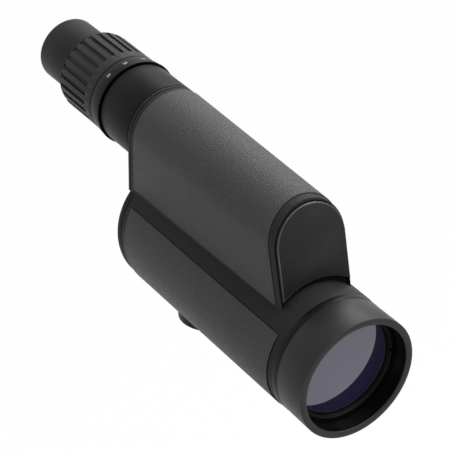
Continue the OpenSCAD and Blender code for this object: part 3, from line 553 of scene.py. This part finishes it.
def buildLensRetainer():
    # threaded ring with two spanner slots; its inner lip has a painted highlight, a lighter and glossier
    # finish that catches a thin gleam
    place = span("lens_retainer")
    size = {"lip": 2.0, "chamfer": 1.1, "land": 0.7, "slotWide": 2.4, "slotDeep": 1.2, "round": 0.2,
            "spare": 4, "forward": -0.1, "segments": 192}
    front, back, wide = place["front"], place["back"], place["radius"]
    inner = wide - size["lip"]
    bm = turned([(inner + size["chamfer"], front), (wide, front), (wide, back), (inner, back),
                 (inner, back - size["land"])],
                [(inner + size["chamfer"], front, size["round"]), (wide, front, size["round"])],
                place["axisZ"], size["segments"])
    tool = bmesh.new()
    bmesh.ops.create_cube(tool, size=1)
    slotBox = (mm(2 * wide + size["spare"]), mm(2 * size["slotDeep"]), mm(size["slotWide"]))
    bmesh.ops.scale(tool, vec=slotBox, verts=tool.verts)
    bmesh.ops.translate(tool, vec=(0, mm(front), mm(place["axisZ"])), verts=tool.verts)
    bm = cut(bm, tool)
    lipRadius = mm(inner + size["chamfer"] + size["round"])
    # painted highlight: the lip's forward faces take the lighter, glossier band finish
    for face in bm.faces:
        centre = face.calc_center_median()
        reach = math.hypot(centre.x, centre.z - mm(place["axisZ"]))
        if reach < lipRadius and face.normal.y < size["forward"]:
            face.material_index = 1
    toPiece(bm, "lensRetainer", [lampBlack, bandAnodisedAndLipHighlight], "lens_retainer")


lensMesh = {"steps": 24, "segments": 128, "smoothAngle": 20}


def lensProfile(radius, rim, front, back, frontCurve, backCurve, raised):
    # flat rim outside, spherical inside: a positive curve bulges, a negative one is hollow and 0 is flat.
    # A raised front stands before its rim, with a chamfer down to it.
    clear = radius - rim

    def rise(curve, reach):
        return 0 if curve == 0 else math.copysign(
            math.sqrt(curve ** 2 - reach ** 2) - math.sqrt(curve ** 2 - clear ** 2), curve)
    reaches = [clear * i / lensMesh["steps"] for i in range(lensMesh["steps"] + 1)]
    points = [(r - (raised if r == clear else 0), front - raised - rise(frontCurve, r)) for r in reaches]
    if raised:
        points.append((clear, front))
    points += [(radius, front), (radius, back)]
    points += [(r, back + rise(backCurve, r)) for r in reversed(reaches)]
    return points


def buildLens(node, name, rim, front, back, frontCurve, backCurve, raised=0.0):
    place = span(node)
    profile = lensProfile(place["radius"], rim, front, back, frontCurve, backCurve, raised)
    bm = turned(profile, (), place["axisZ"], lensMesh["segments"])
    toPiece(bm, name, [glass], node, smoothAngle=lensMesh["smoothAngle"])


def buildLenses():
    # the two front lenses nest, 1 mm apart in curve
    size = {"rim": 1.6, "raised": 1.3, "frontEdge": 15.5, "frontThick": 6, "gap": 0.8, "rearThick": 7.7,
            "frontCurve": 1200, "innerCurve": 135, "nestedCurve": 136, "eyeThick": 8, "eyeFront": 38,
            "eyeBack": 70}
    first = span("objective_ring")["front"] + size["frontEdge"]
    second = first + size["frontThick"] + size["gap"]
    buildLens("front_lens", "frontLens", size["rim"], first, first + size["frontThick"],
              size["frontCurve"], size["innerCurve"], size["raised"])
    buildLens("rear_lens", "rearLens", size["rim"], second, second + size["rearThick"],
              -size["nestedCurve"], 0)
    eyeFront = span("ocular_spacer")["back"]
    buildLens("eye_lens", "eyeLens", size["rim"], eyeFront, eyeFront + size["eyeThick"],
              size["eyeFront"], size["eyeBack"])


buildObjectiveRing()
buildCollar()
buildLensRetainer()
buildLenses()
print("objective built")


def buildBarrel():
    # one turned tube: spigot in the housing, smooth outside, a bearing for the zoom ring, then a tail
    place = span("eyepiece_barrel")
    flange = span("barrel_gasket")["back"]
    ring = span("zoom_ring")
    size = {"shoulderGap": 1.2, "bearingRadius": 22.5, "boreRadius": 18.6, "spigotRadius": 21,
            "tailRadius": 19, "ocularBore": 17.05, "ringGap": 0.05, "shoulderRound": 0.6, "rearRound": 0.2,
            "segments": 176}
    wide, axisZ = place["radius"], place["axisZ"]
    shoulder = ring["front"] - size["shoulderGap"]
    ringBack = ring["back"] + size["ringGap"]
    step = span("erector_retainer")["back"]
    profile = [
        (size["boreRadius"], place["front"]), (size["spigotRadius"], place["front"]),
        (size["spigotRadius"], flange), (wide, flange), (wide, shoulder), (size["bearingRadius"], shoulder),
        (size["bearingRadius"], ringBack), (size["tailRadius"], ringBack),
        (size["tailRadius"], place["back"]), (size["ocularBore"], place["back"]),
        (size["ocularBore"], step), (size["boreRadius"], step)]
    rings = [(wide, shoulder, size["shoulderRound"]), (wide, flange, size["rearRound"])]
    bm = turned(profile, rings, axisZ, size["segments"])
    toPiece(bm, "eyepieceBarrel", [barrelAnodised], "eyepiece_barrel")


def buildZoomRing():
    # a flared number band, a groove, and the sleeve that carries the grip; its shaded faces are painted black
    # as shade
    place = span("zoom_ring")
    grip = span("zoom_grip")
    size = {"boreRadius": 22.55, "lipRadius": 27.0, "lipDepth": 1.8, "sleeveDrop": 2.4,
            "gapDrop": 1.0, "bandLength": 10.8, "gap": 0.8, "frontRound": 0.5, "rearRound": 0.3,
            "lipFace": 2.5, "forward": -0.9, "near": 0.05, "segments": 176}
    front, wide, axisZ, rib = place["front"], place["radius"], place["axisZ"], grip["radius"]
    bandEnd = front + size["bandLength"]
    gripStart = bandEnd + size["gap"]
    bm = turned(
        [(size["boreRadius"], front + size["lipDepth"]), (size["lipRadius"], front + size["lipDepth"]),
         (size["lipRadius"], front), (wide, front), (rib, bandEnd), (rib - size["gapDrop"], bandEnd),
         (rib - size["gapDrop"], gripStart), (rib - size["sleeveDrop"], gripStart),
         (rib - size["sleeveDrop"], place["back"]), (size["boreRadius"], place["back"])],
        [(wide, front, size["frontRound"]), (rib, bandEnd, size["rearRound"])], axisZ, size["segments"])
    deepRadius = mm(rib - size["gapDrop"] + size["near"])
    # painted shade: the groove's deep faces and the lip's front faces take the black rubber
    for face in bm.faces:
        deep = all(math.hypot(v.co.x, v.co.z - mm(axisZ)) < deepRadius for v in face.verts)
        inLip = face.calc_center_median().y < mm(front + size["lipFace"])
        if deep or face.normal.y < size["forward"] and inLip:
            face.material_index = 1
    toPiece(bm, "zoomRing", [bandAnodisedAndLipHighlight, sealRubberAndShade], "zoom_ring")


def buildGrip():
    # a rubber sleeve with round-ended slots that run out at its back
    place = span("zoom_grip")
    size = {"innerDrop": 2.38, "slots": 27, "slotTurn": 2.2, "slotWide": 2.9, "slotDeep": 1.1,
            "slotStart": 6.4, "slotSteps": 24, "middle": 0.001, "cutHeight": 3, "frontRound": 0.4,
            "rearRound": 1.5, "ribRound": 0.25, "ribFold": 35, "ribStart": 2, "floorSlack": 0.2,
            "segments": 216}
    front, back, wide, axisZ = place["front"], place["back"], place["radius"], place["axisZ"]
    inner = wide - size["innerDrop"]
    bm = turned([(inner, front), (wide, front), (wide, back), (inner, back)],
                [(wide, front, size["frontRound"]), (wide, back, size["rearRound"])], axisZ,
                size["segments"])
    tool = bmesh.new()
    for index in range(size["slots"]):
        turn = math.radians(size["slotTurn"]) + 2 * math.pi * index / size["slots"]
        slot = bmesh.new()
        half = size["slotWide"] / 2
        bmesh.ops.create_circle(slot, cap_ends=True, segments=size["slotSteps"], radius=mm(half))
        backHalf = [v for v in slot.verts if v.co.y > mm(size["middle"])]
        bmesh.ops.translate(slot, vec=(0, mm(back - front), 0), verts=backHalf)
        raised = bmesh.ops.extrude_face_region(slot, geom=slot.faces[:])["geom"]
        bmesh.ops.translate(slot, vec=(0, 0, mm(size["cutHeight"])),
                            verts=[g for g in raised if isinstance(g, bmesh.types.BMVert)])
        slotPlace = (0, mm(front + size["slotStart"] + half), mm(wide - size["slotDeep"]))
        bmesh.ops.translate(slot, vec=slotPlace, verts=slot.verts)
        bmesh.ops.rotate(slot, cent=(0, 0, 0), matrix=Matrix.Rotation(turn, 3, "Y"), verts=slot.verts)
        bmesh.ops.translate(slot, vec=(0, 0, mm(axisZ)), verts=slot.verts)
        bmesh.ops.recalc_face_normals(slot, faces=slot.faces)
        mesh = bpy.data.meshes.new("slot")
        slot.to_mesh(mesh)
        slot.free()
        tool.from_mesh(mesh)
        bpy.data.meshes.remove(mesh)
    bm = cut(bm, tool)
    floor = mm(wide - size["slotDeep"] - size["floorSlack"])

    def slotEdge(edge):
        middle = (edge.verts[0].co + edge.verts[1].co) / 2
        outside = math.hypot(middle.x, middle.z - mm(axisZ)) > floor
        return foldOf(edge) > size["ribFold"] and outside and middle.y > mm(front + size["ribStart"])
    roundEdges(bm, size["ribRound"], slotEdge, 2)
    toPiece(bm, "zoomGrip", [gripRubber], "zoom_grip")


def buildNumbers():
    # plain magnifications, wrapped round the band
    place = span("zoom_ring")
    size = {"height": 2.05, "fontPerHeight": 1.4, "at": 5.2, "pitch": 27.25, "first": -37.5, "ink": 0.02,
            "above": 0.01, "bold": 0.01, "taper": 1.25 / 10.8}
    values = ["20", "25", "30", "40", "50", "60"]
    tool = bmesh.new()
    for index, value in enumerate(values):
        curve = bpy.data.curves.new("number", "FONT")
        curve.body = value
        curve.align_x = "CENTER"
        curve.align_y = "CENTER"
        curve.size = mm(size["height"] * size["fontPerHeight"])
        curve.extrude = mm(size["ink"])
        curve.offset = mm(size["bold"])
        label = bpy.data.objects.new("number", curve)
        scene.collection.objects.link(label)
        bpy.context.view_layer.update()
        mesh = bpy.data.meshes.new_from_object(label.evaluated_get(bpy.context.evaluated_depsgraph_get()))
        bpy.data.objects.remove(label)
        middle = math.radians(size["first"] + size["pitch"] * index)
        for vert in mesh.vertices:
            along = place["front"] + size["at"] + vert.co.y * 1000
            surface = place["radius"] - (along - place["front"]) * size["taper"]
            reach = surface + vert.co.z * 1000 + size["above"]
            angle = middle + vert.co.x * 1000 / reach
            height = place["axisZ"] + reach * math.cos(angle)
            vert.co = Vector((mm(reach * math.sin(angle)), mm(along), mm(height)))
        tool.from_mesh(mesh)
        bpy.data.meshes.remove(mesh)
    bmesh.ops.remove_doubles(tool, verts=tool.verts, dist=mm(0.001))
    toPiece(tool, "zoomNumbers", [printInk], "zoom_ring", False, 30)


def buildEyecup():
    # a straight rubber cup with a soft rim, hollow down to the eye lens
    place = span("eyecup")
    size = {"tail": 19.05, "tailDepth": 14.75, "wall": 2.6, "draft": 0.8, "hollow": 17.05, "ledge": 0.65,
            "ledgeFront": 0.05, "ledgeBack": 0.3, "frontRound": 0.4, "rimRound": 1.1, "mouthRound": 0.8,
            "segments": 144}
    front, back, wide, axisZ = place["front"], place["back"], place["radius"], place["axisZ"]
    mouth = wide - size["wall"]
    ocularEnd = span("ocular_cell")["back"]
    ledge = size["hollow"] - size["ledge"]
    ledgeFront = ocularEnd + size["ledgeFront"]
    ledgeBack = ocularEnd + size["ledgeBack"]
    bm = turned(
        [(size["tail"], front), (wide, front), (wide, back), (mouth, back),
         (mouth - size["draft"], ledgeBack), (ledge, ledgeBack), (ledge, ledgeFront),
         (size["hollow"], ledgeFront), (size["hollow"], front + size["tailDepth"]),
         (size["tail"], front + size["tailDepth"])],
        [(wide, front, size["frontRound"]), (wide, back, size["rimRound"]),
         (mouth, back, size["mouthRound"])],
        axisZ, size["segments"])
    toPiece(bm, "eyecup", [cupRubber], "eyecup")


buildBarrel()
buildZoomRing()
buildGrip()
buildNumbers()
buildEyecup()
print("eyepiece built")


def buildSmallParts():
    # pieces whose CAD form is right: a merged copy with its sharp folds rounded off
    size = {"fold": 40}
    parts = [
        ("rear_cover", "rearCover", paint, 0.4), ("foot", "tripodFoot", barrelAnodised, 0.5),
        ("focus_knob", "knobCore", bandAnodisedAndLipHighlight, 0.4), ("knob_grip", "knobGrip", gripRubber, 0.2),
        ("cover_screws", "coverScrews", steel, 0.15), ("foot_screws", "footScrews", steel, 0.15),
        ("zoom_retainer", "zoomRetainer", cupRubber, 0.25), ("focus_screw", "focusScrew", brass, 0.3),
        ("objective_cell", "objectiveCell", lampBlack, 0.15), ("ocular_cell", "ocularCell", lampBlack, 0.1),
        ("eye_lens_retainer", "eyeLensRetainer", lampBlack, 0.1),
    ]
    for node, name, material, width in parts:
        bm = mergedCopy(node)
        roundEdges(bm, width, lambda e: foldOf(e) > size["fold"], 2)
        toPiece(bm, name, [material], node)


buildSmallParts()
print("small parts built")


def buildCamera():
    view = {"azimuth": -34.32, "elevation": 33.14, "roll": 1.0, "distance": 1.2097,
            "target": (0, -0.01958, 0.07477), "lens": 162.17, "sensor": 36, "farthest": 50}
    azimuth, elevation, roll = (math.radians(view[k]) for k in ("azimuth", "elevation", "roll"))
    back = Vector((math.sin(azimuth) * math.cos(elevation), -math.cos(azimuth) * math.cos(elevation),
                   math.sin(elevation)))
    right = Vector((math.cos(azimuth), math.sin(azimuth), 0))
    up = back.cross(right)
    rolledRight = math.cos(roll) * right + math.sin(roll) * up
    rolledUp = math.cos(roll) * up - math.sin(roll) * right
    data = bpy.data.cameras.new("camera")
    data.lens = view["lens"]
    data.sensor_width = view["sensor"]
    data.clip_end = view["farthest"]
    camera = bpy.data.objects.new("camera", data)
    turn = Matrix((rolledRight, rolledUp, back)).transposed().to_4x4()
    camera.matrix_world = Matrix.Translation(Vector(view["target"]) + back * view["distance"]) @ turn
    scene.collection.objects.link(camera)
    scene.camera = camera


def buildLamp(name, place, width, height, power):
    aim = Vector((0, 0, 0.08))
    data = bpy.data.lights.new(name, "AREA")
    data.shape = "RECTANGLE"
    data.size = width
    data.size_y = height
    data.energy = power
    lamp = bpy.data.objects.new(name, data)
    lamp.location = place
    lamp.rotation_euler = (aim - Vector(place)).to_track_quat("-Z", "Y").to_euler()
    lamp.visible_camera = False
    scene.collection.objects.link(lamp)


def backgroundRays(tree):
    # 1 for rays that see the background straight on, in a gloss or through glass
    rays = addNode(tree, "ShaderNodeLightPath")
    seen = addNode(tree, "ShaderNodeMath", {"operation": "MAXIMUM"},
                   in0=rays.outputs["Is Camera Ray"], in1=rays.outputs["Is Glossy Ray"])
    return addNode(tree, "ShaderNodeMath", {"operation": "MAXIMUM"},
                   in0=seen.outputs[0], in1=rays.outputs["Is Transmission Ray"])


def buildStudio():
    # a pale floor and a pale room that look white, but light the scope only softly
    size = {"floorZ": -0.45, "floorSide": 12, "floorColour": "#fafafa", "whiteShare": 0.97,
            "worldFill": 0.33}
    bm = bmesh.new()
    bmesh.ops.create_grid(bm, x_segments=1, y_segments=1, size=size["floorSide"] / 2)
    bmesh.ops.translate(bm, vec=(0, 0, size["floorZ"]), verts=bm.verts)
    mesh = bpy.data.meshes.new("floor")
    bm.to_mesh(mesh)
    bm.free()
    floor = bpy.data.objects.new("floor", mesh)
    scene.collection.objects.link(floor)
    material = bpy.data.materials.new("paleFloor")
    material.use_nodes = True
    tree = material.node_tree
    tree.nodes.clear()
    matt = addNode(tree, "ShaderNodeBsdfDiffuse", {"Color": fromHex(size["floorColour"])})
    white = addNode(tree, "ShaderNodeEmission", {"Color": (1, 1, 1, 1), "Strength": 1.0})
    share = addNode(tree, "ShaderNodeMath", {"operation": "MULTIPLY"}, in0=backgroundRays(tree).outputs[0])
    share.inputs[1].default_value = size["whiteShare"]
    blend = addNode(tree, "ShaderNodeMixShader", in0=share.outputs[0], in1=matt.outputs[0],
                    in2=white.outputs[0])
    addNode(tree, "ShaderNodeOutputMaterial", in0=blend.outputs[0])
    mesh.materials.append(material)

    world = bpy.data.worlds.new("studio")
    scene.world = world
    world.use_nodes = True
    tree = world.node_tree
    tree.nodes.clear()
    level = addNode(tree, "ShaderNodeMapRange", {"To Min": size["worldFill"], "To Max": 1.0},
                    Value=backgroundRays(tree).outputs[0])
    sky = addNode(tree, "ShaderNodeBackground", {"Color": (1, 1, 1, 1)}, Strength=level.outputs[0])
    addNode(tree, "ShaderNodeOutputWorld", in0=sky.outputs[0])


buildCamera()
lamps = [  # name, place in metres, width, height, watts
    ("keySoftbox", (0.33, -0.5, 1.3), 1.2, 1.2, 13.5),
    ("backSoftbox", (0.6, 0.45, 0.8), 0.9, 0.7, 4.2),
    ("noseLamp", (0.48, -0.4, 0.5), 0.4, 0.4, 2.4),
    ("shoulderLamp", (0.28, 0.16, 0.4), 0.2, 0.2, 0.5),
    ("frontFill", (-0.6, -0.8, -0.35), 0.9, 0.9, 5),
]
for name, place, width, height, power in lamps:
    buildLamp(name, place, width, height, power)
buildStudio()
scene.view_settings.view_transform = "Standard"
print("studio built")
